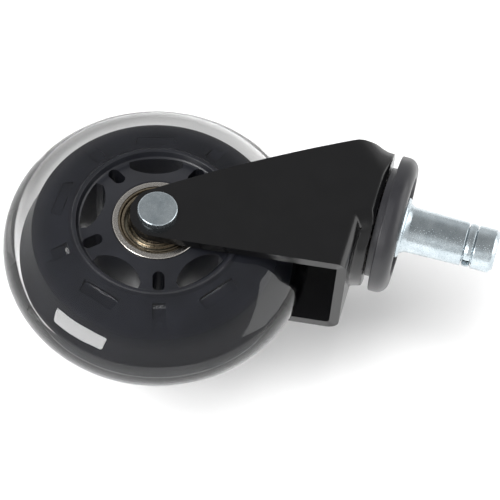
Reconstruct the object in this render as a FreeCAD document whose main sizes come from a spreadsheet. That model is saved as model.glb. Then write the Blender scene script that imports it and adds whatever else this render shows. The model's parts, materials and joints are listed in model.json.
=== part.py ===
"""Swivel chair caster: a clear-tyred wheel on two sealed ball bearings, carried by a
pressed steel fork that turns on a grip-ring stem.

Frame: millimetres, +Z up along the stem. The origin is on the stem's axis at its
shoulder, where the plain shaft starts. The wheel trails towards +X and its axle lies
along Y. The side with the rivet's formed head is at -Y.
"""
import FreeCAD, Part
import Sketcher
import math
import os
import re

Vector = FreeCAD.Vector

# Driving dimensions in millimetres, one spreadsheet row each.
SIZES = {
    # swivel geometry
    "trail": 23.3,
    "drop": 58.8,
    # stem
    "stem_radius": 5.55,
    "stem_length": 22.2,
    "tip_radius": 5.5,
    "tip_flat_radius": 4.5,
    "tip_chamfer": 1.0,
    "ring_groove_low": 14.2,
    "ring_groove_width": 2.5,
    "ring_groove_radius": 4.3,
    "collar_radius": 7.7,
    "collar_top": -1.2,
    "collar_edge": -1.7,
    "collar_base": -3.7,
    "collar_edge_width": 0.5,
    "stem_foot_width": 0.9,
    "king_radius": 5.6,
    "king_seat": -14.0,
    "king_head_radius": 7.4,
    "king_end": -15.6,
    "king_edge_width": 1.2,
    "king_edge_height": 0.8,
    # grip ring
    "grip_inner": 4.5,
    "grip_outer": 5.52,
    "grip_height": 2.0,
    "grip_slot": 2.2,
    "grip_edge": 0.3,
    # top cap, which is also the upper ball race
    "cap_radius": 17.3,
    "cap_base": -6.3,
    "cap_race_land": -6.9,
    "cap_edge": 0.3,
    "cap_shoulder": -4.6,
    "cap_top": -1.7,
    "cap_top_radius": 14.2,
    "cap_rim_inner": 12.9,
    "cap_floor_radius": 12.3,
    "cap_skirt_outer": 14.6,
    "cap_skirt_inner": 13.2,
    "cap_skirt_gap": 0.25,
    "cap_edge_arc": 3.2,
    # swivel ball rings
    "swivel_ball": 1.5875,
    "race_clearance": 0.06,
    "upper_pitch": 10.6,
    "lower_pitch": 8.4,
    "lower_race_radius": 11.0,
    "lower_race_top": -12.5,
    "upper_ball_height": -7.7,
    "lower_ball_height": -11.6,
    # fork
    "fork_half": 15.2,
    "sheet": 2.4,
    "boss_top": -8.3,
    "shoulder_top": -11.1,
    "boss_radius": 16.7,
    "boss_inner_radius": 14.3,
    "boss_bend": 2.0,
    "shoulder_bend": 3.0,
    "inner_bend": 0.6,
    "fork_front": 24.2,
    "fork_front_step": 0.8,
    "leg_end_radius": 6.8,
    "leg_back_angle": 37.0,
    "leg_front_angle": 7.5,
    "leg_back_arc": 320.0,
    "leg_edge_top": -14.9,
    "leg_edge_back": 13.7,
    "corner_ease_radius": 20.6,
    "corner_ease_low": -16.0,
    "corner_ease_high": -9.0,
    "axle_hole_radius": 4.05,
    "king_hole_radius": 5.75,
    # axle rivet and spacers
    "axle_radius": 4.0,
    "rivet_head_radius": 4.85,
    "rivet_head": 2.0,
    "rivet_edge": 0.3,
    "spacer_radius": 6.0,
    "bore_slack": 0.03,
    # bearings, standard 608 size
    "bearing_radius": 11.0,
    "bearing_width": 7.0,
    "bearing_face": 11.9,
    "ball_radius": 1.9845,
    "ball_pitch": 7.5,
    "inner_land": 6.05,
    "outer_land": 8.95,
    "shield_seat": 9.6,
    "seat_depth": 1.0,
    "shield_thickness": 0.3,
    "shield_inner": 6.25,
    "snap_inner": 9.1,
    "snap_height": 0.4,
    "snap_slot": 1.6,
    "ring_edge": 0.3,
    "cage_inner": 7.1,
    "cage_outer": 7.9,
    "cage_half": 2.3,
    # wheel core
    "core_half": 12.0,
    "core_stop_radius": 9.3,
    "core_mouth": 11.3,
    "core_mouth_depth": 11.75,
    "core_mouth_edge": 0.3,
    "disc_edge_radius": 19.3,
    "disc_edge_depth": 10.0,
    "rim_inner": 19.85,
    "rim_outer": 20.7,
    "flank_start_radius": 21.6,
    "flank_start": 10.6,
    "flank_end_radius": 29.0,
    "flank_end": 6.0,
    "band_radius": 29.6,
    "band_half": 5.3,
    "window_outer": 18.9,
    "window_end_radius": 17.2,
    "window_arc": 10.1,
    "slot_half": 1.45,
    "slot_end_arc": 1.5,
    "slot_inner": 15.55,
    "slot_outer": 17.5,
    # tyre
    "tyre_radius": 38.0,
    "tyre_half": 12.15,
    "tyre_lip": 0.3,
    "tyre_side_radius": 24.6,
    "tyre_side_arc": 13.8,
    "tyre_crown_arc": 10.2,
    # how far a cutting outline runs past the solid
    "past": 3.0,
}
# Counts and angles.
BEARING_BALLS = 7
UPPER_BALLS = 19
LOWER_BALLS = 15
HUB_REPEATS = 5
WINDOW_END_ANGLE = 22.0
WINDOW_CORNER_ANGLE = 20.5
WINDOW_OFFSET = 36.0

NEAR = -1
FAR = 1

doc = FreeCAD.newDocument("swivel_caster")
pieces = []


def make_sheet():
    """Write the driving dimensions into a spreadsheet, each with its own alias."""
    sheet = doc.addObject("Spreadsheet::Sheet", "Sizes")
    for row, (alias, value) in enumerate(SIZES.items(), start=1):
        sheet.set("A%d" % row, alias)
        sheet.set("B%d" % row, str(value))
        sheet.setAlias("B%d" % row, alias)
    doc.recompute()


def bound(text):
    """Point every dimension named in an expression at its spreadsheet cell."""
    return re.sub(r"[a-z_]{3,}", lambda m: "Sizes." + m[0] if m[0] in SIZES else m[0], text)


def new_body(name):
    body = doc.addObject("PartDesign::Body", name)
    body.Label = name
    pieces.append(body)
    return body


def place(piece, x="0", y="0", z="0"):
    """Bind a sub-part's position to expressions."""
    piece.setExpression("Placement.Base.x", bound(x))
    piece.setExpression("Placement.Base.y", bound(y))
    piece.setExpression("Placement.Base.z", bound(z))


def place_on_axle(piece, along="0"):
    place(piece, "trail", along, "-drop")


def new_sketch(body, role, name, height="0"):
    """A sketch on one of the body's own origin planes, raised by height along its normal."""
    plane = next(p for p in body.Origin.OriginFeatures if p.Role == role)
    sketch = body.newObject("Sketcher::SketchObject", name)
    sketch.AttachmentSupport = [(plane, "")]
    sketch.MapMode = "FlatFace"
    if height != "0":
        sketch.setExpression("AttachmentOffset.Base.z", bound(height))
    return sketch


def pin_down(sketch, geometry, position, x, y):
    """Hold one sketch point at two bound distances from the sketch origin."""
    for kind, text in (("DistanceX", x), ("DistanceY", y)):
        index = sketch.addConstraint(
            Sketcher.Constraint(kind, -1, 1, geometry, position, 1.0)
        )
        sketch.setExpression("Constraints[%d]" % index, bound(text))


def draw_outline(sketch, corners, arcs=None):
    """Draw a closed outline through bound corners.

    arcs maps the index of a side to (radius, bulge): the side from that corner to the
    next is an arc, which bulges to the left of the way along it when bulge is positive.
    """
    arcs = arcs or {}
    for x, y in corners:
        index = sketch.addGeometry(Part.Point(Vector(0, 0, 0)), True)
        pin_down(sketch, index, 1, x, y)
    doc.recompute()
    points = [sketch.getPoint(i, 1) for i in range(len(corners))]
    for i, start in enumerate(points):
        end = points[(i + 1) % len(points)]
        if i in arcs:
            radius_text, bulge = arcs[i]
            add_arc(sketch, start, end, i, (i + 1) % len(points), radius_text, bulge)
        else:
            line = sketch.addGeometry(Part.LineSegment(start, end))
            sketch.addConstraint(Sketcher.Constraint("Coincident", line, 1, i, 1))
            sketch.addConstraint(
                Sketcher.Constraint("Coincident", line, 2, (i + 1) % len(points), 1)
            )


def add_arc(sketch, start, end, first, last, radius_text, bulge):
    """Add an arc between two pinned corners, with a bound radius."""
    radius = SIZES[radius_text]
    chord = end - start
    half = chord.Length / 2
    sagitta = radius - math.sqrt(max(radius * radius - half * half, 0))
    left = Vector(-chord.y, chord.x, 0).normalize()
    middle = (start + end) / 2 + left * sagitta * bulge
    curve = Part.Arc(start, middle, end)
    arc = sketch.addGeometry(curve)
    ends = (1, 2) if (sketch.getPoint(arc, 1) - start).Length < 1e-6 else (2, 1)
    sketch.addConstraint(Sketcher.Constraint("Coincident", arc, ends[0], first, 1))
    sketch.addConstraint(Sketcher.Constraint("Coincident", arc, ends[1], last, 1))
    index = sketch.addConstraint(Sketcher.Constraint("Radius", arc, radius))
    sketch.setExpression("Constraints[%d]" % index, bound(radius_text))


def draw_circle(sketch, x, y, radius_text):
    circle = sketch.addGeometry(Part.Circle(Vector(1, 1, 0), Vector(0, 0, 1), 1.0))
    index = sketch.addConstraint(Sketcher.Constraint("Radius", circle, 1.0))
    sketch.setExpression("Constraints[%d]" % index, bound(radius_text))
    pin_down(sketch, circle, 3, x, y)


def revolve(body, sketch, kind="Revolution", turn=360.0):
    """Turn a sketch round its vertical axis, as a solid or as a groove."""
    feature = body.newObject("PartDesign::" + kind, sketch.Name + "_" + kind.lower())
    feature.Profile = sketch
    feature.ReferenceAxis = (sketch, ["V_Axis"])
    feature.Angle = turn
    doc.recompute()
    return feature


def turned(name, role, corners, arcs=None):
    """A sub-part turned about the vertical axis of its section."""
    body = new_body(name)
    sketch = new_sketch(body, role, name + "_section")
    draw_outline(sketch, corners, arcs)
    revolve(body, sketch)
    return body


def cut(body, sketch, length=None, reverse=False):
    """Pocket a sketch, through everything both ways when no length is given."""
    before = body.Shape.Volume
    feature = body.newObject("PartDesign::Pocket", sketch.Name + "_cut")
    feature.Profile = sketch
    if length is None:
        feature.Type = "ThroughAll"
        feature.Midplane = True
    else:
        feature.setExpression("Length", bound(length))
        feature.Reversed = reverse
    doc.recompute()
    if body.Shape.Volume >= before - 1e-6:
        raise RuntimeError("the cut of %s removed nothing" % sketch.Name)
    return feature


def pad(body, sketch, length, midplane=False, reverse=False):
    feature = body.newObject("PartDesign::Pad", sketch.Name + "_pad")
    feature.Profile = sketch
    feature.setExpression("Length", bound(length))
    feature.Midplane = midplane
    feature.Reversed = reverse
    doc.recompute()
    return feature


def repeat_round(body, features, role, count):
    """Repeat features evenly round one of the body's axes."""
    axis = next(a for a in body.Origin.OriginFeatures if a.Role == role)
    pattern = body.newObject("PartDesign::PolarPattern", features[0].Name + "_pattern")
    pattern.Originals = features
    pattern.Axis = (axis, [""])
    pattern.Angle = 360.0
    pattern.Occurrences = count
    body.Tip = pattern
    doc.recompute()


def ring_corners(inner, outer, low, high):
    """Corners of a plain rectangular ring section."""
    return [(inner, low), (outer, low), (outer, high), (inner, high)]


def ball_ring(name, count, radius, pitch, axis, height="0"):
    """Equal balls spaced evenly on a circle about Y (axis "Y") or about Z."""
    group = doc.addObject("Part::Compound", name)
    group.Label = name
    balls = []
    for i in range(count):
        ball = doc.addObject("Part::Sphere", "%s_%d" % (name, i + 1))
        ball.setExpression("Radius", bound(radius))
        angle = 360.0 * i / count
        across = "%s * cos(%.6f deg)" % (pitch, angle)
        along = "%s * sin(%.6f deg)" % (pitch, angle)
        if axis == "Y":
            place(ball, across, height, along)
        else:
            place(ball, across, along, height)
        balls.append(ball)
    group.Links = balls
    pieces.append(group)
    return group


# ---------------------------------------------------------------- stem and swivel

def make_stem():
    """Kingpin and stem in one: peened end, collar, plain shaft, ring groove and tip."""
    corners = [
        ("0", "king_end"),
        ("king_head_radius - king_edge_width", "king_end"),
        ("king_head_radius", "king_end + king_edge_height"),
        ("king_head_radius", "king_seat"),
        ("king_radius", "king_seat"),
        ("king_radius", "collar_base"),
        ("collar_radius", "collar_base"),
        ("collar_radius", "collar_edge"),
        ("collar_radius - collar_edge_width", "collar_top"),
        ("stem_radius + stem_foot_width", "collar_top"),
        ("stem_radius", "0"),
        ("stem_radius", "ring_groove_low"),
        ("ring_groove_radius", "ring_groove_low"),
        ("ring_groove_radius", "ring_groove_low + ring_groove_width"),
        ("tip_radius", "ring_groove_low + ring_groove_width"),
        ("tip_radius", "stem_length - tip_chamfer"),
        ("tip_flat_radius", "stem_length"),
        ("0", "stem_length"),
    ]
    turned("stem", "XZ_Plane", corners)


def make_grip_ring():
    """Split spring ring that sits loosely in the stem's groove and grips the socket."""
    middle = "ring_groove_low + ring_groove_width / 2"
    body = turned("grip_ring", "XZ_Plane", [
        ("grip_inner", middle + " - grip_height / 2"),
        ("grip_outer - grip_edge", middle + " - grip_height / 2"),
        ("grip_outer", middle),
        ("grip_outer - grip_edge", middle + " + grip_height / 2"),
        ("grip_inner", middle + " + grip_height / 2"),
    ])
    split = new_sketch(body, "XY_Plane", "grip_split", middle + " - grip_height")
    draw_outline(split, ring_corners("0", "grip_outer * 2", "-grip_slot / 2", "grip_slot / 2"))
    cut(body, split, "grip_height * 2", reverse=True)


def make_top_cap():
    """Rounded cap pressed under the collar; its underside is the upper race."""
    body = turned("top_cap", "XZ_Plane", [
        ("king_radius", "cap_race_land"),
        ("cap_skirt_inner", "cap_race_land"),
        ("cap_skirt_inner", "boss_top + cap_skirt_gap"),
        ("cap_skirt_outer", "boss_top + cap_skirt_gap"),
        ("cap_skirt_outer", "cap_base"),
        ("cap_radius - cap_edge", "cap_base"),
        ("cap_radius", "cap_base + cap_edge"),
        ("cap_radius", "cap_shoulder"),
        ("cap_top_radius", "cap_top"),
        ("cap_rim_inner", "cap_top"),
        ("cap_floor_radius", "collar_base"),
        ("king_radius", "collar_base"),
    ], {7: ("cap_edge_arc", -1)})
    race_groove(body, "cap_race", "upper_pitch", "upper_ball_height")


def race_groove(body, name, pitch, height):
    """Cut the round ball track of a swivel race."""
    sketch = new_sketch(body, "XZ_Plane", name)
    draw_circle(sketch, pitch, height, "swivel_ball + race_clearance")
    before = body.Shape.Volume
    revolve(body, sketch, "Groove")
    if body.Shape.Volume >= before:
        raise RuntimeError("the groove %s removed nothing" % name)


def make_lower_race():
    """Hardened washer under the fork, held up by the peened end of the stem."""
    body = turned("lower_race", "XZ_Plane", ring_corners(
        "king_radius", "lower_race_radius", "king_seat", "lower_race_top"))
    race_groove(body, "lower_track", "lower_pitch", "lower_ball_height")


# ---------------------------------------------------------------- fork

def make_fork():
    """Pressed fork: two tapering legs, a bridge and the raised boss of the swivel."""
    body = new_body("fork")
    side = new_sketch(body, "XZ_Plane", "fork_side")
    draw_outline(side, fork_side_corners(), {0: ("leg_back_arc", 1), 5: ("leg_end_radius", 1)})
    pad(body, side, "fork_half * 2", midplane=True)
    round_bend(body, "shoulder_corner", "shoulder_top", "shoulder_bend")
    raise_boss(body)
    round_bend(body, "boss_corner", "boss_top", "boss_bend")
    ease_rear_corners(body)
    hollow_channel(body)
    hollow_boss(body)
    drill_fork(body)


def fork_side_corners():
    """Side view of the legs and bridge, from the back of the leg's end, clockwise."""
    back_x = "trail - leg_end_radius * cos(leg_back_angle)"
    back_z = "-drop - leg_end_radius * sin(leg_back_angle)"
    front_x = "trail + leg_end_radius * cos(leg_front_angle)"
    front_z = "-drop + leg_end_radius * sin(leg_front_angle)"
    return [
        (back_x, back_z),
        ("-leg_edge_back", "leg_edge_top"),
        ("-leg_edge_back", "shoulder_top"),
        ("fork_front", "shoulder_top"),
        ("fork_front", "shoulder_top - fork_front_step"),
        (front_x, front_z),
    ]


def round_bend(body, name, top, bend):
    """Round the two long top corners to the outside radius of the sheet's bend."""
    for side, word in ((-1, "near"), (1, "far")):
        sketch = new_sketch(body, "YZ_Plane", "%s_%s" % (name, word))
        sign = "-" if side < 0 else ""
        draw_outline(sketch, [
            ("%sfork_half" % sign, "%s - %s" % (top, bend)),
            ("%s(fork_half - %s)" % (sign, bend), top),
            ("%s(fork_half + past)" % sign, top),
            ("%s(fork_half + past)" % sign, "%s - %s" % (top, bend)),
        ], {0: (bend, -side)})
        cut(body, sketch)


def raise_boss(body):
    """Raise the boss: round in front, square behind until its corners are eased."""
    sketch = new_sketch(body, "XY_Plane", "boss_plan", "boss_top")
    meet = "sqrt(boss_radius ^ 2 - fork_half ^ 2)"
    draw_outline(sketch, [
        ("-boss_radius", "-fork_half"),
        (meet, "-fork_half"),
        (meet, "fork_half"),
        ("-boss_radius", "fork_half"),
    ], {1: ("boss_radius", -1)})
    pad(body, sketch, "boss_top - leg_edge_top", reverse=True)


def ease_rear_corners(body):
    """Ease the rear corners in plan, from square on the legs to round at the boss's top."""
    sketch = new_sketch(body, "YZ_Plane", "corner_ease")
    draw_outline(sketch, [
        ("corner_ease_radius", "corner_ease_low"),
        ("boss_radius", "corner_ease_high"),
        ("boss_radius", "boss_top + past"),
        ("corner_ease_radius + past", "boss_top + past"),
        ("corner_ease_radius + past", "corner_ease_low"),
    ])
    before = body.Shape.Volume
    revolve(body, sketch, "Groove", 180.0)
    if body.Shape.Volume >= before:
        raise RuntimeError("the groove corner_ease removed nothing")


def hollow_channel(body):
    """Open the channel between the legs, under the bridge."""
    sketch = new_sketch(body, "YZ_Plane", "channel")
    wall = "(fork_half - sheet)"
    top = "shoulder_top - sheet"
    bend = "(shoulder_bend - sheet)"
    draw_outline(sketch, [
        ("-" + wall, "-drop - leg_end_radius - past"),
        (wall, "-drop - leg_end_radius - past"),
        (wall, top + " - " + bend),
        (wall + " - " + bend, top),
        ("-" + wall + " + " + bend, top),
        ("-" + wall, top + " - " + bend),
    ], {2: ("inner_bend", -1), 4: ("inner_bend", -1)})
    cut(body, sketch)


def hollow_boss(body):
    """Hollow the boss from below, so that it is one sheet thick."""
    sketch = new_sketch(body, "XY_Plane", "boss_hollow", "boss_top - sheet")
    wall = "(fork_half - sheet)"
    meet = "sqrt((boss_radius - sheet) ^ 2 - (fork_half - sheet) ^ 2)"
    draw_outline(sketch, [
        ("-boss_radius - past", "-" + wall),
        (meet, "-" + wall),
        (meet, wall),
        ("-boss_radius - past", wall),
    ], {1: ("boss_inner_radius", -1)})
    cut(body, sketch, "boss_top - shoulder_top + fork_front_step")


def drill_fork(body):
    """Kingpin hole, both ball tracks and the axle's holes."""
    king = new_sketch(body, "XY_Plane", "king_hole")
    draw_circle(king, "0", "0", "king_hole_radius")
    cut(body, king)
    race_groove(body, "fork_upper_track", "upper_pitch", "upper_ball_height")
    race_groove(body, "fork_lower_track", "lower_pitch", "lower_ball_height")
    axle = new_sketch(body, "XZ_Plane", "axle_holes")
    draw_circle(axle, "trail", "-drop", "axle_hole_radius")
    cut(body, axle)


# ---------------------------------------------------------------- axle and spacers

def make_axle_rivet():
    """Solid rivet that is the wheel's axle, with a flat head outside each leg."""
    head = "rivet_head_radius"
    end = "(fork_half + rivet_head)"
    body = turned("axle_rivet", "XY_Plane", [
        ("0", "-" + end),
        (head + " - rivet_edge", "-" + end),
        (head, "-" + end + " + rivet_edge"),
        (head, "-fork_half"),
        ("axle_radius", "-fork_half"),
        ("axle_radius", "fork_half"),
        (head, "fork_half"),
        (head, end + " - rivet_edge"),
        (head + " - rivet_edge", end),
        ("0", end),
    ])
    place_on_axle(body)


def make_spacers():
    """Tube between the bearings' inner rings, and a thin washer against each leg."""
    bore = "axle_radius + bore_slack"
    stop = "bearing_face - bearing_width"
    centre = turned("centre_spacer", "XY_Plane", ring_corners(
        bore, "spacer_radius", "-(" + stop + ")", stop))
    place_on_axle(centre)
    for side, word in ((NEAR, "near"), (FAR, "far")):
        low, high = "bearing_face", "fork_half - sheet"
        if side == NEAR:
            low, high = "-(fork_half - sheet)", "-bearing_face"
        washer = turned("side_spacer_" + word, "XY_Plane", ring_corners(
            bore, "spacer_radius", low, high))
        place_on_axle(washer)


# ---------------------------------------------------------------- ball bearings

def make_bearing(side, word):
    """One shielded deep-groove bearing, built about its own centre."""
    centre = "%d * (bearing_face - bearing_width / 2)" % side
    make_inner_ring(word, centre)
    make_outer_ring(word, centre)
    balls = ball_ring("bearing_balls_" + word, BEARING_BALLS, "ball_radius", "ball_pitch", "Y")
    place_on_axle(balls, centre)
    make_cage(word, centre)
    for face, place_word in ((side, "outboard"), (-side, "inboard")):
        make_shield(word, place_word, face, centre)
        make_snap_ring(word, place_word, face, centre)


def track(body, name):
    """Cut the ball track of a bearing ring."""
    sketch = new_sketch(body, "XY_Plane", name)
    draw_circle(sketch, "ball_pitch", "0", "ball_radius + race_clearance")
    revolve(body, sketch, "Groove")


def make_inner_ring(word, centre):
    bore = "axle_radius + bore_slack"
    half = "bearing_width / 2"
    body = turned("bearing_inner_" + word, "XY_Plane", [
        (bore, "-" + half),
        ("inner_land - ring_edge", "-" + half),
        ("inner_land", "-" + half + " + ring_edge"),
        ("inner_land", half + " - ring_edge"),
        ("inner_land - ring_edge", half),
        (bore, half),
    ])
    track(body, "inner_track_" + word)
    place_on_axle(body, centre)


def make_outer_ring(word, centre):
    half = "bearing_width / 2"
    step = half + " - seat_depth"
    body = turned("bearing_outer_" + word, "XY_Plane", [
        ("shield_seat", "-" + half),
        ("bearing_radius - ring_edge", "-" + half),
        ("bearing_radius", "-" + half + " + ring_edge"),
        ("bearing_radius", half + " - ring_edge"),
        ("bearing_radius - ring_edge", half),
        ("shield_seat", half),
        ("shield_seat", step),
        ("outer_land", step),
        ("outer_land", "-(" + step + ")"),
        ("shield_seat", "-(" + step + ")"),
    ])
    track(body, "outer_track_" + word)
    place_on_axle(body, centre)


def make_cage(word, centre):
    """Ring that keeps the balls apart, with a pocket for each."""
    body = turned("bearing_cage_" + word, "XY_Plane", ring_corners(
        "cage_inner", "cage_outer", "-cage_half", "cage_half"))
    sketch = new_sketch(body, "YZ_Plane", "cage_pocket_" + word)
    draw_circle(sketch, "0", "0", "ball_radius + race_clearance")
    pocket = cut(body, sketch, "ball_pitch * 2", reverse=True)
    repeat_round(body, [pocket], "Y_Axis", BEARING_BALLS)
    place_on_axle(body, centre)


def make_shield(word, place_word, face, centre):
    """Thin steel shield seated in the outer ring, just clear of the inner ring."""
    seat = "%d * (bearing_width / 2 - seat_depth)" % face
    top = "%d * (bearing_width / 2 - seat_depth + shield_thickness)" % face
    low, high = (seat, top) if face > 0 else (top, seat)
    body = turned("shield_%s_%s" % (word, place_word), "XY_Plane", ring_corners(
        "shield_inner", "shield_seat", low, high))
    place_on_axle(body, centre)


def make_snap_ring(word, place_word, face, centre):
    """Split wire ring that holds a shield in."""
    near_edge = "bearing_width / 2 - seat_depth + shield_thickness"
    low = "%d * (%s)" % (face, near_edge)
    high = "%d * (%s + snap_height)" % (face, near_edge)
    if face < 0:
        low, high = high, low
    name = "snap_ring_%s_%s" % (word, place_word)
    body = turned(name, "XY_Plane", ring_corners("snap_inner", "shield_seat", low, high))
    gap = new_sketch(body, "XZ_Plane", name + "_gap")
    draw_outline(gap, ring_corners("0", "bearing_radius", "-snap_slot / 2", "snap_slot / 2"))
    cut(body, gap)
    place_on_axle(body, centre)


# ---------------------------------------------------------------- wheel

def core_flank(sign):
    """Outside of the core on one side, from the rim's lip up to the central band."""
    return [
        ("rim_outer", "%score_half" % sign),
        ("flank_start_radius", "%sflank_start" % sign),
        ("flank_end_radius", "%sflank_end" % sign),
        ("band_radius", "%sband_half" % sign),
    ]


def make_core():
    """Moulded core: two bearing seats, a dished disc with windows, and the rim."""
    stop = "(bearing_face - bearing_width)"
    inside = [
        ("core_stop_radius", "-" + stop),
        ("bearing_radius", "-" + stop),
        ("bearing_radius", "-core_mouth_depth + core_mouth_edge"),
        ("core_mouth", "-core_mouth_depth"),
        ("disc_edge_radius", "-disc_edge_depth"),
        ("rim_inner", "-core_half"),
    ]
    mirrored = [(r, "-(%s)" % y) for r, y in reversed(inside)]
    far_flank = list(reversed(core_flank("")))
    body = turned("hub_core", "XY_Plane", inside + core_flank("-") + far_flank + mirrored)
    window = cut_window(body)
    slot = cut_slot(body)
    repeat_round(body, [window, slot], "Y_Axis", HUB_REPEATS)
    place_on_axle(body)


def polar(radius, angle):
    """Sketch coordinates on the XZ plane at a radius and an angle from +Z towards -X."""
    return ("-%s * sin(%.4f deg)" % (radius, angle), "%s * cos(%.4f deg)" % (radius, angle))


def cut_window(body):
    """One large window, a lens with its round side towards the bearing."""
    sketch = new_sketch(body, "XZ_Plane", "window")
    mid = WINDOW_OFFSET
    draw_outline(sketch, [
        polar("window_outer", mid - WINDOW_CORNER_ANGLE),
        polar("window_outer", mid + WINDOW_CORNER_ANGLE),
        polar("window_end_radius", mid + WINDOW_END_ANGLE),
        polar("window_end_radius", mid - WINDOW_END_ANGLE),
    ], {0: ("window_outer", -1), 2: ("window_arc", -1)})
    return cut(body, sketch)


def cut_slot(body):
    """One small slot with round ends, between two windows."""
    sketch = new_sketch(body, "XZ_Plane", "slot")
    draw_outline(sketch, [
        ("-slot_half", "slot_inner"),
        ("slot_half", "slot_inner"),
        ("slot_half", "slot_outer"),
        ("-slot_half", "slot_outer"),
    ], {0: ("slot_end_arc", -1), 2: ("slot_end_arc", -1)})
    return cut(body, sketch)


def make_tyre():
    """Clear tyre cast round the core, with an almost round tread."""
    join_y = "(tyre_side_arc - tyre_half) * tyre_crown_arc / (tyre_side_arc - tyre_crown_arc)"
    join_r = ("tyre_side_radius + (tyre_radius - tyre_crown_arc - tyre_side_radius)"
              " * tyre_side_arc / (tyre_side_arc - tyre_crown_arc)")
    side = [
        ("rim_outer + tyre_lip", "tyre_half"),
        ("tyre_side_radius", "tyre_half"),
        (join_r, join_y),
    ]
    outside = side + [(r, "-(%s)" % y) for r, y in reversed(side)]
    arcs = {1: ("tyre_side_arc", 1), 2: ("tyre_crown_arc", 1), 3: ("tyre_side_arc", 1)}
    body = turned("tyre", "XY_Plane", outside + core_flank("-") + list(reversed(core_flank(""))), arcs)
    place_on_axle(body)


def check_document():
    """Stop if any object failed to recompute or any sub-part isn't a sound solid."""
    doc.recompute()
    for item in doc.Objects:
        if "Invalid" in item.State or "Error" in item.State:
            raise RuntimeError("%s did not recompute" % item.Name)
    for piece in pieces:
        if piece.Shape.isNull() or not piece.Shape.isValid():
            raise RuntimeError("%s is not a sound shape" % piece.Label)


def export_pieces():
    os.makedirs("parts", exist_ok=True)
    for piece in pieces:
        piece.Shape.exportStep("parts/%s.step" % piece.Label)
        print("%-28s %9.2f mm3 %d solid(s)" % (
            piece.Label, piece.Shape.Volume, len(piece.Shape.Solids)))


def main():
    make_sheet()
    make_stem()
    make_grip_ring()
    make_top_cap()
    make_lower_race()
    ball_ring("upper_swivel_balls", UPPER_BALLS, "swivel_ball", "upper_pitch", "Z",
              "upper_ball_height")
    ball_ring("lower_swivel_balls", LOWER_BALLS, "swivel_ball", "lower_pitch", "Z",
              "lower_ball_height")
    make_fork()
    make_axle_rivet()
    make_spacers()
    make_bearing(NEAR, "near")
    make_bearing(FAR, "far")
    make_core()
    make_tyre()
    check_document()
    export_pieces()


main()
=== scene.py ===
"""The looks of a swivel caster with a clear tyre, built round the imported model.

Lengths are in millimetres where a value is named, and are turned to metres by MM.
The stem stands on the Z axis, and the wheel's axle lies along Y through AXLE.
"""

import json
import math

import bmesh
import bpy
from mathutils import Matrix, Vector


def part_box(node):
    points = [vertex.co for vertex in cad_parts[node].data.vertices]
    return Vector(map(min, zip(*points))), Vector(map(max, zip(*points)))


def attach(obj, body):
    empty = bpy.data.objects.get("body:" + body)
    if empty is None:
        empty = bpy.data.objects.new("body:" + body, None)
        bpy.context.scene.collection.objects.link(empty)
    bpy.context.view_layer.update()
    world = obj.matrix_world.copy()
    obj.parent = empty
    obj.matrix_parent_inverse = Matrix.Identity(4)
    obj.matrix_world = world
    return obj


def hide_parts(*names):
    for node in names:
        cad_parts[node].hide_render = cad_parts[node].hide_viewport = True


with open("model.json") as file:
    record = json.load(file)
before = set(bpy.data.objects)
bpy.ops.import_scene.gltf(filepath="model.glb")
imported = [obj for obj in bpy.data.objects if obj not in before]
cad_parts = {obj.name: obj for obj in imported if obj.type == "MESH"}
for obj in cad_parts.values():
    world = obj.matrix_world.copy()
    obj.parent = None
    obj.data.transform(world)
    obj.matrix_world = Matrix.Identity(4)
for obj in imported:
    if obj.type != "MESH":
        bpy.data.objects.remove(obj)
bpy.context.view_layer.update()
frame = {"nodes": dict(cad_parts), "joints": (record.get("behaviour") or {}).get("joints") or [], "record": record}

MM = 0.001
FULL_TURN = 2 * math.pi
AXLE = next(Vector(joint["pos_m"]) for joint in frame["joints"] if joint["name"] == "wheel_spin")
STEM_AXIS = Vector()
RIM_INNER, RIM_OUTER = 19.85, 20.7      # the wheel core's rim, which the tyre's side runs up to


# ------------------------------------------------------------ materials

NOISE_LOW, NOISE_HIGH = 0.3, 0.7        # nearly all of a noise pattern lies between these
FIRST, SECOND = 6, 7                    # a colour mix node's two inputs; its result is output 2
WET_BAND = 0.4                          # width over which nylon goes from dry to wetted by resin


def linear(code):
    """An sRGB hex colour as the linear colour that a shader reads."""
    channels = [int(code[i:i + 2], 16) / 255 for i in (1, 3, 5)]
    return [c / 12.92 if c <= 0.04045 else ((c + 0.055) / 1.055) ** 2.4 for c in channels] + [1.0]


def add(tree, kind, settings=None, sockets=None):
    """Add a node; sockets maps an input's name or index to a value or to the output that feeds it."""
    node = tree.nodes.new(kind)
    for name, value in (settings or {}).items():
        setattr(node, name, value)
    for name, value in (sockets or {}).items():
        if isinstance(value, bpy.types.NodeSocket):
            tree.links.new(value, node.inputs[name])
        else:
            node.inputs[name].default_value = value
    return node


def new_material(name):
    """A material with an empty node tree."""
    material = bpy.data.materials.new(name)
    material.use_nodes = True
    material.node_tree.nodes.clear()
    return material, material.node_tree


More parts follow.
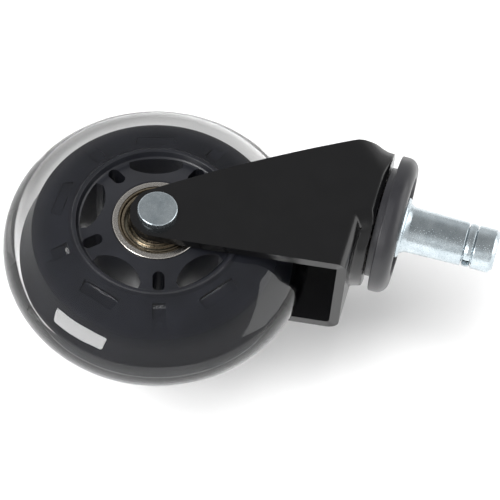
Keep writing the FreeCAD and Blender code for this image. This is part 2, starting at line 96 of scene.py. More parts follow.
def cast_polyurethane():
    """Clear polyurethane, poured into a polished mould.

    To the eye it is like thick glass: sharp highlights, a bent view of what lies behind it, a faint
    grey that deepens with thickness, and slow waves left by the pour.
    """
    material, tree = new_material("clear_cast_polyurethane")
    place = add(tree, "ShaderNodeTexCoord").outputs["Object"]
    waves = add(tree, "ShaderNodeTexNoise", {}, {
        "Vector": place, "Scale": 1 / (9 * MM), "Detail": 1}).outputs["Fac"]
    smears = add(tree, "ShaderNodeTexNoise", {}, {
        "Vector": place, "Scale": 1 / (4 * MM), "Detail": 4}).outputs["Fac"]
    roughness = add(tree, "ShaderNodeMapRange", {}, {
        "Value": smears, "From Min": NOISE_LOW, "From Max": NOISE_HIGH,
        "To Min": 0.0, "To Max": 0.03}).outputs["Result"]
    normal = add(tree, "ShaderNodeBump", {}, {
        "Height": waves, "Distance": 0.02 * MM, "Strength": 1.0}).outputs["Normal"]
    resin = add(tree, "ShaderNodeBsdfPrincipled", {}, {
        "Base Color": linear("#f4f5f6"), "IOR": 1.5, "Transmission Weight": 1.0,
        "Roughness": roughness, "Normal": normal})
    depth = add(tree, "ShaderNodeVolumeAbsorption", {}, {"Color": linear("#d6d1ca"), "Density": 12.0})
    add(tree, "ShaderNodeOutputMaterial", {}, {"Surface": resin.outputs[0], "Volume": depth.outputs[0]})
    return material


def moulded_nylon():
    """Black nylon, injection moulded in a finely textured mould.

    To the eye it is near black with a satin sheen. Where the resin wets it, outside the rim, it has
    almost no gloss of its own. The mould's texture is drawn coarser than it is, so that it shows.
    """
    material, tree = new_material("black_moulded_nylon")
    place = add(tree, "ShaderNodeTexCoord").outputs["Object"]
    off_axle = add(tree, "ShaderNodeVectorMath", {"operation": "SUBTRACT"}, {0: place, 1: AXLE})
    flat = add(tree, "ShaderNodeVectorMath", {"operation": "MULTIPLY"}, {
        0: off_axle.outputs[0], 1: (1, 0, 1)})
    radius = add(tree, "ShaderNodeVectorMath", {"operation": "LENGTH"}, {0: flat.outputs[0]})
    wetted = add(tree, "ShaderNodeMapRange", {}, {
        "Value": radius.outputs["Value"], "From Min": RIM_OUTER * MM, "From Max": (RIM_OUTER + WET_BAND) * MM,
        "To Min": 1.5, "To Max": 1.06}).outputs["Result"]
    fine = add(tree, "ShaderNodeTexNoise", {}, {
        "Vector": place, "Scale": 1 / (0.35 * MM), "Detail": 3}).outputs["Fac"]
    broad = add(tree, "ShaderNodeTexNoise", {}, {
        "Vector": place, "Scale": 1 / (7 * MM), "Detail": 3}).outputs["Fac"]
    share = add(tree, "ShaderNodeMapRange", {}, {
        "Value": broad, "From Min": NOISE_LOW, "From Max": NOISE_HIGH}).outputs["Result"]
    colour = add(tree, "ShaderNodeMix", {"data_type": "RGBA"}, {
        "Factor": share, FIRST: linear("#15161a"), SECOND: linear("#1b1c21")}).outputs[2]
    roughness = add(tree, "ShaderNodeMapRange", {}, {
        "Value": fine, "From Min": NOISE_LOW, "From Max": NOISE_HIGH,
        "To Min": 0.28, "To Max": 0.4}).outputs["Result"]
    normal = add(tree, "ShaderNodeBump", {}, {
        "Height": fine, "Distance": 0.0015 * MM, "Strength": 1.0}).outputs["Normal"]
    nylon = add(tree, "ShaderNodeBsdfPrincipled", {}, {
        "Base Color": colour, "IOR": wetted, "Roughness": roughness, "Normal": normal})
    add(tree, "ShaderNodeOutputMaterial", {}, {"Surface": nylon.outputs[0]})
    return material


def black_enamel():
    """Black enamel, electro-coated and baked on pressed steel.

    To the eye it is deep black, with sharp highlights that a faint orange peel ripples.
    """
    material, tree = new_material("black_baked_enamel")
    place = add(tree, "ShaderNodeTexCoord").outputs["Object"]
    peel = add(tree, "ShaderNodeTexNoise", {}, {
        "Vector": place, "Scale": 1 / (1.1 * MM), "Detail": 2}).outputs["Fac"]
    broad = add(tree, "ShaderNodeTexNoise", {}, {
        "Vector": place, "Scale": 1 / (6 * MM), "Detail": 3}).outputs["Fac"]
    share = add(tree, "ShaderNodeMapRange", {}, {
        "Value": broad, "From Min": NOISE_LOW, "From Max": NOISE_HIGH}).outputs["Result"]
    colour = add(tree, "ShaderNodeMix", {"data_type": "RGBA"}, {
        "Factor": share, FIRST: linear("#0b0b0c"), SECOND: linear("#0d0d0e")}).outputs[2]
    roughness = add(tree, "ShaderNodeMapRange", {}, {
        "Value": broad, "From Min": NOISE_LOW, "From Max": NOISE_HIGH,
        "To Min": 0.2, "To Max": 0.23}).outputs["Result"]
    normal = add(tree, "ShaderNodeBump", {}, {
        "Height": peel, "Distance": 0.006 * MM, "Strength": 1.0}).outputs["Normal"]
    enamel = add(tree, "ShaderNodeBsdfPrincipled", {}, {
        "Base Color": colour, "IOR": 1.5, "Roughness": roughness, "Normal": normal})
    add(tree, "ShaderNodeOutputMaterial", {}, {"Surface": enamel.outputs[0]})
    return material


def satin_enamel():
    """Black enamel with less gloss, baked on a spun cap.

    To the eye it is a very dark grey with broad, soft highlights and a faint orange peel.
    """
    material, tree = new_material("satin_black_enamel")
    place = add(tree, "ShaderNodeTexCoord").outputs["Object"]
    peel = add(tree, "ShaderNodeTexNoise", {}, {
        "Vector": place, "Scale": 1 / (0.9 * MM), "Detail": 2}).outputs["Fac"]
    broad = add(tree, "ShaderNodeTexNoise", {}, {
        "Vector": place, "Scale": 1 / (5 * MM), "Detail": 3}).outputs["Fac"]
    share = add(tree, "ShaderNodeMapRange", {}, {
        "Value": broad, "From Min": NOISE_LOW, "From Max": NOISE_HIGH}).outputs["Result"]
    colour = add(tree, "ShaderNodeMix", {"data_type": "RGBA"}, {
        "Factor": share, FIRST: linear("#232326"), SECOND: linear("#29292c")}).outputs[2]
    roughness = add(tree, "ShaderNodeMapRange", {}, {
        "Value": broad, "From Min": NOISE_LOW, "From Max": NOISE_HIGH,
        "To Min": 0.3, "To Max": 0.4}).outputs["Result"]
    normal = add(tree, "ShaderNodeBump", {}, {
        "Height": peel, "Distance": 0.005 * MM, "Strength": 1.0}).outputs["Normal"]
    enamel = add(tree, "ShaderNodeBsdfPrincipled", {}, {
        "Base Color": colour, "IOR": 1.5, "Roughness": roughness, "Normal": normal})
    add(tree, "ShaderNodeOutputMaterial", {}, {"Surface": enamel.outputs[0]})
    return material


def zinc_plating():
    """Bright zinc plating with a blue passivate, on turned steel.

    To the eye it is pale, bluish and satin. Its crystals are drawn coarser than they are, so that
    their sparkle shows.
    """
    material, tree = new_material("blue_zinc_plating")
    place = add(tree, "ShaderNodeTexCoord").outputs["Object"]
    crystals = add(tree, "ShaderNodeTexNoise", {}, {
        "Vector": place, "Scale": 1 / (0.5 * MM), "Detail": 4}).outputs["Fac"]
    broad = add(tree, "ShaderNodeTexNoise", {}, {
        "Vector": place, "Scale": 1 / (3 * MM), "Detail": 3}).outputs["Fac"]
    share = add(tree, "ShaderNodeMapRange", {}, {
        "Value": broad, "From Min": NOISE_LOW, "From Max": NOISE_HIGH}).outputs["Result"]
    colour = add(tree, "ShaderNodeMix", {"data_type": "RGBA"}, {
        "Factor": share, FIRST: linear("#b2bdc3"), SECOND: linear("#ccd6db")}).outputs[2]
    roughness = add(tree, "ShaderNodeMapRange", {}, {
        "Value": crystals, "From Min": NOISE_LOW, "From Max": NOISE_HIGH,
        "To Min": 0.18, "To Max": 0.34}).outputs["Result"]
    normal = add(tree, "ShaderNodeBump", {}, {
        "Height": crystals, "Distance": 0.016 * MM, "Strength": 1.0}).outputs["Normal"]
    zinc = add(tree, "ShaderNodeBsdfPrincipled", {}, {
        "Base Color": colour, "Metallic": 0.96, "Roughness": roughness, "Normal": normal})
    add(tree, "ShaderNodeOutputMaterial", {}, {"Surface": zinc.outputs[0]})
    return material


def ground_steel():
    """Bearing steel, hardened and ground.

    To the eye it is bright and warm grey. Its grinding marks are drawn coarser than they are, so
    that they show.
    """
    material, tree = new_material("ground_bearing_steel")
    place = add(tree, "ShaderNodeTexCoord").outputs["Object"]
    marks = add(tree, "ShaderNodeTexNoise", {}, {
        "Vector": place, "Scale": 1 / (0.3 * MM), "Detail": 3}).outputs["Fac"]
    share = add(tree, "ShaderNodeMapRange", {}, {
        "Value": marks, "From Min": NOISE_LOW, "From Max": NOISE_HIGH}).outputs["Result"]
    colour = add(tree, "ShaderNodeMix", {"data_type": "RGBA"}, {
        "Factor": share, FIRST: linear("#c4bfb9"), SECOND: linear("#d6d2cc")}).outputs[2]
    roughness = add(tree, "ShaderNodeMapRange", {}, {
        "Value": marks, "From Min": NOISE_LOW, "From Max": NOISE_HIGH,
        "To Min": 0.2, "To Max": 0.32}).outputs["Result"]
    normal = add(tree, "ShaderNodeBump", {}, {
        "Height": marks, "Distance": 0.002 * MM, "Strength": 1.0}).outputs["Normal"]
    steel = add(tree, "ShaderNodeBsdfPrincipled", {}, {
        "Base Color": colour, "Metallic": 1.0, "Roughness": roughness, "Normal": normal})
    add(tree, "ShaderNodeOutputMaterial", {}, {"Surface": steel.outputs[0]})
    return material


def pressed_strip():
    """Cold-rolled steel strip, pressed to a shield.

    To the eye it is smooth and bright, slightly golden, with faint streaks from the press.
    """
    material, tree = new_material("pressed_steel_strip")
    place = add(tree, "ShaderNodeTexCoord").outputs["Object"]
    streaks = add(tree, "ShaderNodeTexNoise", {}, {
        "Vector": place, "Scale": 1 / (0.6 * MM), "Detail": 3}).outputs["Fac"]
    share = add(tree, "ShaderNodeMapRange", {}, {
        "Value": streaks, "From Min": NOISE_LOW, "From Max": NOISE_HIGH}).outputs["Result"]
    colour = add(tree, "ShaderNodeMix", {"data_type": "RGBA"}, {
        "Factor": share, FIRST: linear("#8f8370"), SECOND: linear("#a69a86")}).outputs[2]
    roughness = add(tree, "ShaderNodeMapRange", {}, {
        "Value": streaks, "From Min": NOISE_LOW, "From Max": NOISE_HIGH,
        "To Min": 0.2, "To Max": 0.28}).outputs["Result"]
    normal = add(tree, "ShaderNodeBump", {}, {
        "Height": streaks, "Distance": 0.003 * MM, "Strength": 1.0}).outputs["Normal"]
    strip = add(tree, "ShaderNodeBsdfPrincipled", {}, {
        "Base Color": colour, "Metallic": 1.0, "Roughness": roughness, "Normal": normal})
    add(tree, "ShaderNodeOutputMaterial", {}, {"Surface": strip.outputs[0]})
    return material


FINISHES = {
    "clear_polyurethane": cast_polyurethane(),
    "black_core": moulded_nylon(),
    "black_paint": black_enamel(),
    "black_cap": satin_enamel(),
    "zinc_steel": zinc_plating(),
    "bearing_steel": ground_steel(),
    "shield_steel": pressed_strip(),
}


def finish_nodes():
    """Give each node that stays its slot's finish."""
    slots = {part["node"]: part["material_slot"] for part in frame["record"]["subparts"]}
    for name, node in frame["nodes"].items():
        finish = FINISHES[slots[name]]
        node.data.materials.clear()
        node.data.materials.append(finish)


finish_nodes()


# ------------------------------------------------------------ making pieces

ARC_STEP = math.radians(5)      # turn of one facet on a wide curve
ARC_CHORD = 0.16                # length of one facet on a tight curve
MERGE = 0.002 * MM              # points nearer than this become one
SOFT_EDGE = math.radians(40)    # edges that turn less than this are shaded smooth
ALONG = {"Y": Matrix.Rotation(math.radians(-90), 3, "X"), "Z": Matrix.Identity(3)}


def outline(corners):
    """A flat face in XZ through corners (across, up) or (across, up, rounding radius)."""
    bm = bmesh.new()
    points = [Vector((corner[0], 0, corner[1])) * MM for corner in corners]
    verts = [bm.verts.new(point) for point in points]
    bm.faces.new(verts)
    for i, corner in enumerate(corners):
        if len(corner) < 3:
            continue
        turn = math.pi - (points[i - 1] - points[i]).angle(points[(i + 1) % len(points)] - points[i])
        steps = max(2, math.ceil(min(turn / ARC_STEP, corner[2] * turn / ARC_CHORD)))
        bmesh.ops.bevel(
            bm, geom=[verts[i]], offset=corner[2] * MM * math.tan(turn / 2), offset_type="OFFSET",
            segments=steps, profile=0.5, affect="VERTICES", material=-1)
    bmesh.ops.remove_doubles(bm, verts=bm.verts, dist=MERGE)
    return bm


def turned(corners, axis="Y", centre=AXLE, steps=128, start=0.0, sweep=FULL_TURN):
    """A lathe piece: an outline of (radius, along) corners spun about an axis through centre."""
    bm = outline(corners)
    whole = sweep >= FULL_TURN
    if whole:
        bmesh.ops.delete(bm, geom=bm.faces[:], context="FACES_ONLY")
    bmesh.ops.rotate(bm, verts=bm.verts, matrix=Matrix.Rotation(start, 3, "Z"))
    bmesh.ops.spin(
        bm, geom=bm.verts[:] + bm.edges[:] + bm.faces[:], axis=(0, 0, 1), cent=(0, 0, 0),
        angle=sweep, steps=steps, use_merge=whole)
    bmesh.ops.remove_doubles(bm, verts=bm.verts, dist=MERGE)
    if not whole:
        bmesh.ops.holes_fill(bm, edges=bm.edges, sides=0)
    bmesh.ops.rotate(bm, verts=bm.verts, matrix=ALONG[axis])
    bmesh.ops.translate(bm, verts=bm.verts, vec=centre)
    return bm


def to_object(bm, name):
    """A bmesh as a linked object, smooth except over its sharp edges."""
    bmesh.ops.recalc_face_normals(bm, faces=bm.faces)
    mesh = bpy.data.meshes.new(name)
    bm.to_mesh(mesh)
    bm.free()
    mesh.shade_smooth()
    mesh.set_sharp_from_angle(angle=SOFT_EDGE)
    piece = bpy.data.objects.new(name, mesh)
    bpy.context.scene.collection.objects.link(piece)
    return piece


def carve(piece, cutters):
    """Cut the cutters out of a piece for good."""
    for cutter in cutters:
        cut = piece.modifiers.new("cut", "BOOLEAN")
        cut.operation = "DIFFERENCE"
        cut.solver = "EXACT"
        cut.object = cutter
    bpy.context.view_layer.update()
    seen = piece.evaluated_get(bpy.context.evaluated_depsgraph_get())
    carved = bpy.data.meshes.new_from_object(seen)
    piece.modifiers.clear()
    piece.data = carved
    for cutter in cutters:
        bpy.data.objects.remove(cutter)
    return piece


def soften(piece, width_mm, angle=40):
    """Round the edges that turn more than the angle, in degrees."""
    bevel = piece.modifiers.new("edges", "BEVEL")
    bevel.width = width_mm * MM
    bevel.segments = 3
    bevel.limit_method = "ANGLE"
    bevel.angle_limit = math.radians(angle)
    bevel.use_clamp_overlap = True
    bevel.harden_normals = False


def place(piece, body, slot, *nodes):
    """Give the piece its finish, shade its flats flat, and let it ride in place of those nodes."""
    piece.data.materials.clear()
    piece.data.materials.append(FINISHES[slot])
    piece.modifiers.new("flats", "WEIGHTED_NORMAL").keep_sharp = True
    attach(piece, body)
    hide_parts(*nodes)
    return piece


def mirrored(corners):
    """The corners, then the same ones on the other side of the middle, back to front."""
    return corners + [(c[0], -c[1], *c[2:]) for c in reversed(corners)]


# ------------------------------------------------------------ wheel

tyre_low, tyre_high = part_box("tyre")
TYRE_RADIUS = (tyre_high - tyre_low).z / 2 / MM
TYRE_HALF = (tyre_high - tyre_low).y / 2 / MM
TYRE_FLAT = 33.01               # radius where the tyre's flat side would meet its tread
TYRE_PEAK = 1.28                # how far the two halves of the tread would rise above the crown
SIDE_ARC, CROWN_ARC = 13.7, 10.1
LAND_INNER, LAND_OUTER = 20.35, 21.0    # the tyre's narrow slope down to the rim
CORE_HALF = 12.0
THROUGH = 14.0                  # past the wheel's side


def make_tyre():
    """Clear tyre. Its inner wall lies inside the core, as the cast resin fills the core's pockets."""
    tyre = to_object(turned([
        (27.0, 4.4), (20.45, 10.2), (LAND_INNER, 11.95),
        (LAND_OUTER, TYRE_HALF, 0.25), (TYRE_FLAT, TYRE_HALF, SIDE_ARC),
        (TYRE_RADIUS + TYRE_PEAK, 0.0, CROWN_ARC),
        (TYRE_FLAT, -TYRE_HALF, SIDE_ARC), (LAND_OUTER, -TYRE_HALF, 0.25),
        (LAND_INNER, -11.95), (20.45, -10.2), (27.0, -4.4),
    ], steps=192), "clear_tyre")
    tyre.visible_shadow = False     # clear resin lets the light through
    return place(tyre, "wheel", "clear_polyurethane", "tyre")


def prism(corners, low_mm, high_mm, angle=0.0):
    """A cutter: an outline across the axle, from low to high along it, turned about it."""
    bm = outline(corners)
    grown = bmesh.ops.extrude_face_region(bm, geom=bm.faces[:])
    far = [v for v in grown["geom"] if isinstance(v, bmesh.types.BMVert)]
    bmesh.ops.translate(bm, verts=far, vec=(0, (high_mm - low_mm) * MM, 0))
    bmesh.ops.translate(bm, verts=bm.verts, vec=(0, low_mm * MM, 0))
    bmesh.ops.rotate(bm, verts=bm.verts, matrix=Matrix.Rotation(angle, 3, "Y"))
    bmesh.ops.translate(bm, verts=bm.verts, vec=AXLE)
    return to_object(bm, "cutter")


SPOKES = 5
BETWEEN_SPOKES = math.radians(36)
POCKET_FLOOR = 7.6              # the anchor pockets stop this far from the wheel's middle
WINDOW = [
    (-6.62, 17.70), (0, 20.18, 18.8), (6.62, 17.70), (6.44, 15.95), (0, 10.62, 10.0), (-6.44, 15.95),
]
ANCHOR = [(-1.6, 22.6, 0.3), (1.6, 22.6, 0.3), (1.6, 26.4, 0.3), (-1.6, 26.4, 0.3)]
WIDE_ANCHOR = [(-5.2, 22.9, 0.5), (5.2, 22.9, 0.5), (4.6, 25.6, 0.5), (-4.6, 25.6, 0.5)]
SLOT = [(-1.45, 14.1, 1.4), (1.45, 14.1, 1.4), (1.45, 19.0, 1.4), (-1.45, 19.0, 1.4)]


def make_core():
    """Moulded core: bearing seats, dished disc with windows and slots, rim and anchor pockets."""
    bm = turned(mirrored([
        (9.3, -4.9), (11.0, -4.9), (11.0, -11.45), (11.3, -11.75, 0.2),
        (19.0, -10.0, 1.0), (RIM_INNER, -CORE_HALF, 0.2), (RIM_OUTER, -CORE_HALF, 0.2),
        (21.6, -10.6, 0.6), (29.0, -6.0, 0.6), (29.6, -5.3, 0.4),
    ]), steps=192)
    core = to_object(bm, "wheel_core")
    cutters = []
    for k in range(SPOKES):
        turn = -FULL_TURN * k / SPOKES
        cutters.append(prism(WINDOW, -THROUGH, THROUGH, turn - BETWEEN_SPOKES))
        cutters.append(prism(SLOT, -THROUGH, THROUGH, turn))
        for low, high in ((-THROUGH, -POCKET_FLOOR), (POCKET_FLOOR, THROUGH)):
            cutters.append(prism(ANCHOR, low, high, turn))
            cutters.append(prism(WIDE_ANCHOR, low, high, turn - BETWEEN_SPOKES))
    carve(core, cutters)
    soften(core, 0.22)
    return place(core, "wheel", "black_core", "hub_core")


BEARING_MIDDLE = 8.4
BEARING_HALF = 3.5
BEARING_RADIUS = 11.0
SNAP_GAP = math.radians(10)


def make_bearings():
    """Outer rings with their ball tracks, shields and snap rings of both bearings."""
    for word, side in (("near", -1), ("far", 1)):
        middle = AXLE + Vector((0, side * BEARING_MIDDLE * MM, 0))
        ring = [(9.6, BEARING_HALF, 0.1), (BEARING_RADIUS, BEARING_HALF, 0.35),
                (BEARING_RADIUS, -BEARING_HALF, 0.35), (9.6, -BEARING_HALF, 0.1),
                (9.6, -2.5), (8.95, -2.5), (8.95, -1.45), (9.55, -0.75, 0.3),
                (9.55, 0.75, 0.3), (8.95, 1.45), (8.95, 2.5), (9.6, 2.5)]
        place(to_object(turned(ring, centre=middle), "bearing_outer_ring_" + word),
              "wheel", "bearing_steel", "bearing_outer_" + word)
        face = side * BEARING_HALF
        shield = [(9.55, face - side * 0.95), (9.0, face - side * 0.95, 0.2), (8.7, face - side * 0.35, 0.25),
                  (8.1, face - side * 0.45, 0.6), (7.2, face - side * 1.0, 0.8), (6.25, face - side * 1.05),
                  (6.25, face - side * 1.25), (7.2, face - side * 1.2, 0.8), (8.1, face - side * 0.65, 0.6),
                  (8.6, face - side * 0.55, 0.1), (8.85, face - side * 1.15, 0.2), (9.55, face - side * 1.15)]
        place(to_object(turned(shield, centre=middle), "bearing_shield_" + word),
              "wheel", "shield_steel", "shield_%s_outboard" % word)
        snap = [(9.05, face - side * 0.15, 0.12), (9.5, face - side * 0.15, 0.12),
                (9.5, face - side * 0.6, 0.12), (9.05, face - side * 0.6, 0.12)]
        place(to_object(turned(snap, centre=middle, sweep=FULL_TURN - SNAP_GAP), "snap_ring_" + word),
              "wheel", "shield_steel", "snap_ring_%s_outboard" % word)


# ------------------------------------------------------------ fork

FORK_HALF = 15.2
SHEET = 2.4
BOSS_TOP, BOSS_BEND, BOSS_RADIUS = -8.3, 2.0, 16.7
SHOULDER_TOP, SHOULDER_BEND = -11.1, 3.0
LEG_TOP_BACK, LEG_TOP_HEIGHT = -13.7, -14.9
LEG_END_RADIUS = 6.8
LEG_BACK_ANGLE, LEG_FRONT_ANGLE = math.radians(37), math.radians(7.5)
LEG_BACK_BOW = 1.2
FORK_FRONT, FORK_FRONT_HEIGHT = 24.2, -11.9
BOSS_STEP_START, BOSS_STEP_WIDTH = 0.2, 1.1     # the step down from the boss, inside and across its edge
BACK_STEP_HEIGHT = 2.0          # height in which the back edge goes from the leg to behind the boss
CORNER_LOW, CORNER_HIGH = -19.0, -9.0           # heights between which the rear corner draws in
CORNER_ROOM = 3.9               # how much further out the corner may stand at the low height
CORNER_START, CORNER_SLOPE = 0.92, 0.1          # share of the limit where the corner starts to round
KING_HOLE, AXLE_HOLE = 5.75, 4.05
ACROSS = 132                    # facets from the fork's back edge to its front edge
DOWN_LEG = 44                   # rows of facets on a leg
ROUND_BEND = 12                 # rows round a bend
OVER_TOP = 72                   # rows over the bridge
SETTLE = 3                      # passes in which a point's height and its place along an edge agree


def section(row, top, bend):
    """A point (y, z) on the near half of the pressed sheet's section, from the leg's foot up and over."""
    foot = AXLE.z / MM - LEG_END_RADIUS
    if row <= DOWN_LEG:
        share = row / DOWN_LEG
        return -FORK_HALF, foot + (top - bend - foot) * (share + math.sin(share * math.pi / 2) ** 2) / 2
    if row <= DOWN_LEG + ROUND_BEND:
        angle = math.radians(90) * (row - DOWN_LEG) / ROUND_BEND
        return -(FORK_HALF - bend + bend * math.cos(angle)), top - bend + bend * math.sin(angle)
    return (2 * (row - DOWN_LEG - ROUND_BEND) / OVER_TOP - 1) * (FORK_HALF - bend), top


def leg_edge(z, angle, side, top_x, top_z, bow):
    """Where a leg's edge is at a height: round its foot, then up to its top corner."""
    axle_x, axle_z = AXLE.x / MM, AXLE.z / MM
    foot_x = axle_x + side * LEG_END_RADIUS * math.cos(angle)
    foot_z = axle_z + side * LEG_END_RADIUS * math.sin(angle)
    if z < foot_z:
        return axle_x + side * math.sqrt(max(0.0, LEG_END_RADIUS ** 2 - (z - axle_z) ** 2))
    share = min((z - foot_z) / (top_z - foot_z), 1.0)
    return foot_x + (top_x - foot_x) * share + side * bow * 4 * share * (1 - share)


def back_edge(z):
    """Straight down the leg; square behind the boss, for the corners to be eased."""
    if z < LEG_TOP_HEIGHT:
        return leg_edge(z, LEG_BACK_ANGLE, -1, LEG_TOP_BACK, LEG_TOP_HEIGHT, LEG_BACK_BOW)
    return LEG_TOP_BACK - (BOSS_RADIUS + LEG_TOP_BACK) * min((z - LEG_TOP_HEIGHT) / BACK_STEP_HEIGHT, 1.0)


def front_edge(z):
    """Straight from the foot to the nose."""
    return leg_edge(z, LEG_FRONT_ANGLE, 1, FORK_FRONT, FORK_FRONT_HEIGHT, 0.0)


def smooth_step(value):
    """From 0 to 1 with level ends."""
    value = min(max(value, 0.0), 1.0)
    return value * value * (3 - 2 * value)


def disc(radius, low, high, axis="Z", centre=STEM_AXIS):
    """A cutter: a plain disc from low to high along the axis."""
    return to_object(turned([(0, low), (radius, low), (radius, high), (0, high)], axis, centre, 96), "cutter")


BALL_TRACKS = (
    [(8.9, -7.7), (8.9, -9.36, 1.2), (12.3, -9.36, 1.2), (12.3, -7.7)],
    [(6.75, -11.9), (6.75, -9.95, 0.8), (10.05, -9.95, 0.8), (10.05, -11.9)],
)


def make_fork():
    """Fork pressed from one sheet: two legs, two bends, and a bridge with a raised boss."""
    rows = DOWN_LEG * 2 + ROUND_BEND * 2 + OVER_TOP
    bm = bmesh.new()
    bmesh.ops.create_grid(bm, x_segments=rows, y_segments=ACROSS, size=0.5)
    for vert in bm.verts:
        row = round((vert.co.x + 0.5) * rows)
        across = vert.co.y + 0.5
        near_row = min(row, rows - row)
        shoulder = section(near_row, SHOULDER_TOP, SHOULDER_BEND)
        boss = section(near_row, BOSS_TOP, BOSS_BEND)
        y, z = boss
        for _ in range(SETTLE):
            x = back_edge(z) + (front_edge(z) - back_edge(z)) * across
            beyond = math.hypot(max(x, 0.0), y) - BOSS_RADIUS
            raised = 1 - smooth_step((beyond + BOSS_STEP_START) / BOSS_STEP_WIDTH)
            y = boss[0] * raised + shoulder[0] * (1 - raised)
            z = boss[1] * raised + shoulder[1] * (1 - raised)
        drawn_in = smooth_step((z - CORNER_LOW) / (CORNER_HIGH - CORNER_LOW))
        reach = math.hypot(x, y) / (BOSS_RADIUS + CORNER_ROOM * (1 - drawn_in))
        past = reach - CORNER_START
        if x < 0 and past > 0:
            room = 1 - CORNER_START
            pull = (CORNER_START + room * (1 - math.exp(-past / room)) + CORNER_SLOPE * past) / reach
            x, y = x * pull, y * pull
        vert.co = Vector((x, y if row == near_row else -y, z)) * MM
    bmesh.ops.remove_doubles(bm, verts=bm.verts, dist=MERGE)
    bmesh.ops.recalc_face_normals(bm, faces=bm.faces)
    fork = to_object(bm, "pressed_fork")
    sheet = fork.modifiers.new("sheet", "SOLIDIFY")
    sheet.thickness = SHEET * MM
    sheet.offset = -1
    sheet.use_even_offset = True
    tracks = [to_object(turned(track, "Z", STEM_AXIS, 96), "cutter") for track in BALL_TRACKS]
    carve(fork, tracks + [disc(KING_HOLE, -18, 0), disc(AXLE_HOLE, -20, 20, "Y", AXLE)])
    soften(fork, 0.4, angle=50)
    return place(fork, "fork", "black_paint", "fork")


def make_rivet():
    """Axle rivet with a flat head outside each leg."""
    return place(to_object(turned(mirrored([
        (0, -17.2), (4.85, -17.2, 0.35), (4.85, -15.2, 0.15), (4.0, -15.2),
    ])), "axle_rivet_pin"), "fork", "zinc_steel", "axle_rivet")


# ------------------------------------------------------------ stem and cap

RING_GAP = math.radians(24)     # the split in the grip ring


def make_stem():
    """Kingpin and stem in one piece, with a collar, a ring groove and a bevelled tip."""
    return place(to_object(turned([
        (0, -15.6), (6.2, -15.6, 0.3), (7.4, -14.8, 0.3), (7.4, -14.0, 0.1), (5.6, -14.0), (5.6, -3.7),
        (7.7, -3.7), (7.7, -1.7, 0.3), (7.2, -1.2, 0.2), (6.45, -1.2, 0.5), (5.75, 0.1, 0.8),
        (5.5, 14.2, 0.3), (4.3, 14.2, 0.15), (4.3, 16.7, 0.15), (5.5, 16.7, 0.3), (5.5, 21.2, 0.4),
        (4.5, 22.2, 0.35), (0, 22.2),
    ], "Z", STEM_AXIS, 96), "stem_pin"), "stem", "zinc_steel", "stem")


def make_grip_ring():
    """Split spring ring, loose in the stem's groove."""
    return place(to_object(turned([
        (4.5, 14.45, 0.15), (5.3, 14.45, 0.35), (5.5, 15.45, 0.5), (5.3, 16.45, 0.35), (4.5, 16.45, 0.15),
    ], "Z", STEM_AXIS, 80, start=RING_GAP / 2, sweep=FULL_TURN - RING_GAP), "split_grip_ring"),
        "stem", "zinc_steel", "grip_ring")


def make_cap():
    """Spun cap under the collar: a rounded shoulder, a sunk floor, a skirt and a groove for the balls."""
    return place(to_object(turned([
        (5.6, -6.9), (8.9, -6.9), (8.9, -5.95, 0.7), (12.3, -5.95, 0.7), (12.3, -6.9), (13.2, -6.9, 0.2),
        (13.2, -8.05), (13.9, -8.05, 0.2), (13.9, -6.3, 0.2), (17.3, -6.3, 0.3), (17.3, -1.7, 2.9),
        (12.9, -1.7, 0.25), (12.3, -3.7, 0.4), (5.6, -3.7),
    ], "Z", STEM_AXIS, 160), "spun_cap"), "stem", "black_cap", "top_cap")


make_tyre()
make_core()
make_bearings()
make_fork()
make_rivet()
make_stem()
make_grip_ring()
make_cap()


# ------------------------------------------------------------ stage, light and camera

VIEW_AZIMUTH = math.radians(30.77)
VIEW_ELEVATION = math.radians(5.89)
VIEW_ROLL = math.radians(104.96)
CAMERA_DEPTH = 566.2
AXLE_LEFT_OF_AXIS = 23.0
AXLE_ABOVE_AXIS = 1.2
LENS, SENSOR = 165.1, 36


def make_camera():
    """Camera at a three-quarter angle, rolled onto its side, so that the stem points sideways."""
    back = Vector((
        math.sin(VIEW_AZIMUTH) * math.cos(VIEW_ELEVATION),
        -math.cos(VIEW_AZIMUTH) * math.cos(VIEW_ELEVATION),
        math.sin(VIEW_ELEVATION),
    ))
    level_right = Vector((0, 0, 1)).cross(back).normalized()
    level_up = back.cross(level_right)
    right = level_right * math.cos(VIEW_ROLL) + level_up * math.sin(VIEW_ROLL)
    up = back.cross(right)
    place = AXLE + (back * CAMERA_DEPTH + right * AXLE_LEFT_OF_AXIS - up * AXLE_ABOVE_AXIS) * MM
    data = bpy.data.cameras.new("camera")
    data.sensor_width = SENSOR
    data.lens = LENS
    data.clip_start = 0.01
    camera = bpy.data.objects.new("camera", data)
    camera.matrix_world = Matrix.Translation(place) @ Matrix((right, up, back)).transposed().to_4x4()
    bpy.context.scene.collection.objects.link(camera)
    bpy.context.scene.camera = camera


def make_light(name, toward, along, distance, width, height, radiance):
    """A soft box in that direction from the axle, its width along a given direction, with that brightness."""
    back = Vector(toward).normalized()
    right = (Vector(along) - back * back.dot(Vector(along))).normalized()
    data = bpy.data.lights.new(name, "AREA")
    data.shape = "RECTANGLE"
    data.size, data.size_y = width, height
    data.energy = radiance * math.pi * width * height
    light = bpy.data.objects.new(name, data)
    light.matrix_world = (Matrix.Translation(AXLE + back * distance)
                          @ Matrix((right, back.cross(right), back)).transposed().to_4x4())
    light.visible_camera = False
    bpy.context.scene.collection.objects.link(light)
    return light


FLOOR_ROOM = 64 * MM            # clear of the wheel wherever the fork swivels
FLOOR_HALF = 1.5                # metres


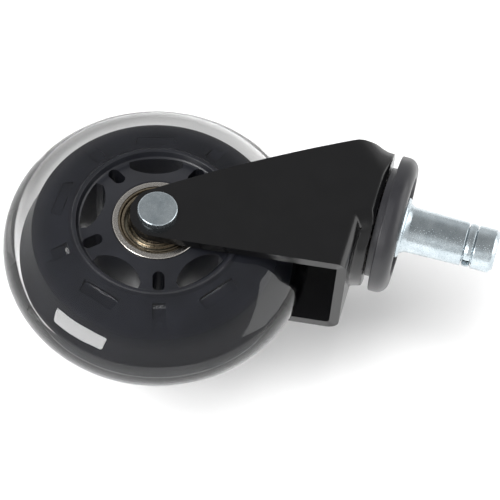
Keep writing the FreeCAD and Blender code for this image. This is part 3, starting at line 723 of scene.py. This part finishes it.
def make_floor():
    """White paper below the caster, which lies far side down; only its upper side shows."""
    bm = bmesh.new()
    bmesh.ops.create_grid(bm, x_segments=1, y_segments=1, size=FLOOR_HALF)
    bmesh.ops.rotate(bm, verts=bm.verts, matrix=Matrix.Rotation(math.radians(90), 3, "X"))
    bmesh.ops.translate(bm, verts=bm.verts, vec=Vector((0, FLOOR_ROOM, 0)))
    mesh = bpy.data.meshes.new("table")
    bm.to_mesh(mesh)
    bm.free()
    table = bpy.data.objects.new("table", mesh)
    bpy.context.scene.collection.objects.link(table)
    # matt uncoated paper: plain white, with no highlight; its underside lets the view through
    material, tree = new_material("white_paper")
    paper = add(tree, "ShaderNodeBsdfDiffuse", {}, {"Color": linear("#f2f2f2")})
    clear = add(tree, "ShaderNodeBsdfTransparent")
    side = add(tree, "ShaderNodeNewGeometry").outputs["Backfacing"]
    shader = add(tree, "ShaderNodeMixShader", {}, {0: side, 1: paper.outputs[0], 2: clear.outputs[0]})
    add(tree, "ShaderNodeOutputMaterial", {}, {"Surface": shader.outputs[0]})
    mesh.materials.append(material)


FLAG = (-0.05, -0.99, 0.05)     # where a black flag keeps the fork's flat side and the core dark
FLAG_EDGE, FLAG_CORE = math.radians(66), math.radians(24)
WALL_BRIGHTNESS, FLAG_BRIGHTNESS = 0.7, 0.3


def make_world():
    """White behind the object; pale studio walls, dark behind the flag, for its reflections."""
    world = bpy.data.worlds.new("studio")
    world.use_nodes = True
    bpy.context.scene.world = world
    tree = world.node_tree
    tree.nodes.clear()
    toward = add(tree, "ShaderNodeTexCoord").outputs["Generated"]
    facing = add(tree, "ShaderNodeVectorMath", {"operation": "DOT_PRODUCT"}, {
        0: toward, 1: Vector(FLAG).normalized()}).outputs["Value"]
    walls = add(tree, "ShaderNodeMapRange", {"interpolation_type": "SMOOTHSTEP"}, {
        "Value": facing, "From Min": math.cos(FLAG_EDGE), "From Max": math.cos(FLAG_CORE),
        "To Min": WALL_BRIGHTNESS, "To Max": FLAG_BRIGHTNESS}).outputs["Result"]
    seen = add(tree, "ShaderNodeLightPath").outputs["Is Camera Ray"]
    bright = add(tree, "ShaderNodeBackground", {}, {"Color": linear("#ffffff"), "Strength": 1.0})
    dim = add(tree, "ShaderNodeBackground", {}, {"Color": linear("#ffffff"), "Strength": walls})
    both = add(tree, "ShaderNodeMixShader", {}, {0: seen, 1: dim.outputs[0], 2: bright.outputs[0]})
    add(tree, "ShaderNodeOutputWorld", {}, {"Surface": both.outputs[0]})


make_camera()
make_floor()
make_world()
# name, direction, direction of its width, distance, width and height in metres, brightness
window_box = make_light("window_box", (0.73, -0.40, -0.48), (0.45, -0.13, 0.85), 0.7, 0.40, 0.30, 13)
side_panel = make_light("side_panel", (-0.25, -0.25, 0.93), (0.67, 0.6, 0.4), 0.8, 0.9, 0.7, 1.7)
key = make_light("key", (0.36, -1.0, -0.16), (0, 0, 1), 1.0, 0.6, 0.6, 15)
for box in (window_box, side_panel):    # seen only as reflections
    box.visible_diffuse = False
key.visible_glossy = False              # lights the matt surfaces only
key.visible_transmission = False
bpy.context.scene.view_settings.view_transform = "Standard"
